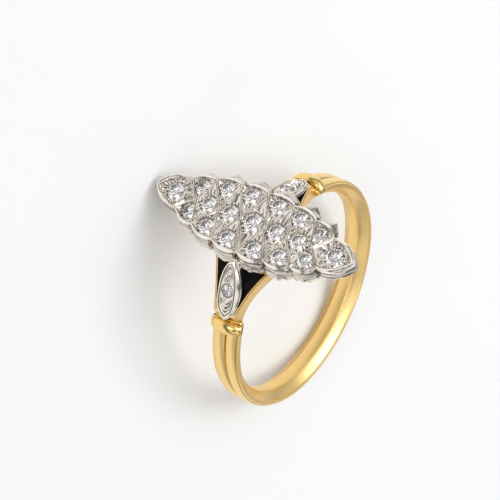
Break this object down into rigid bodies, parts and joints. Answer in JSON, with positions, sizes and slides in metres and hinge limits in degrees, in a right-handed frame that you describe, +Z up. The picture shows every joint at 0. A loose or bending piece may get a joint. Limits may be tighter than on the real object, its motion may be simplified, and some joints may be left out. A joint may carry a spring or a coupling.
{
  "type": "navette ring",
  "caption": "Navette ring: a long pointed white-metal head set with brilliants in a ridged trellis, on a reeded gold band with black enamel shoulders, lying on its side.",
  "frame": {"origin": "centre of the ring's outline seen from above, on the surface it lies on", "axes": "+X from the head towards the bottom of the band, along the longest extent, +Z up off the surface it lies on, along the shortest extent; Y across the finger, from the near shoulder to the far one"},
  "size_m": [0.0234, 0.0194, 0.0169],
  "materials": {
    "gold": "polished yellow gold, satin on the reeds",
    "white_metal": "bright-cut white metal",
    "enamel": "black enamel",
    "brilliant": "clear faceted brilliant"
  },
  "bodies": {
    "root": {"gold_mount": "gold", "head": "white_metal", "leaf_near": "white_metal", "leaf_far": "white_metal", "enamel_near": "enamel", "enamel_far": "enamel", "stone_leaf_near": "brilliant", "stone_leaf_far": "brilliant", "stone_mid_0": "brilliant", "stone_mid_a1": "brilliant", "stone_mid_a2": "brilliant", "stone_mid_a3": "brilliant", "stone_mid_b1": "brilliant", "stone_mid_b2": "brilliant", "stone_mid_b3": "brilliant", "stone_near_a1": "brilliant", "stone_near_a2": "brilliant", "stone_near_a3": "brilliant", "stone_near_b1": "brilliant", "stone_near_b2": "brilliant", "stone_near_b3": "brilliant", "stone_far_a1": "brilliant", "stone_far_a2": "brilliant", "stone_far_a3": "brilliant", "stone_far_b1": "brilliant", "stone_far_b2": "brilliant", "stone_far_b3": "brilliant"}
  },
  "joints": []
}
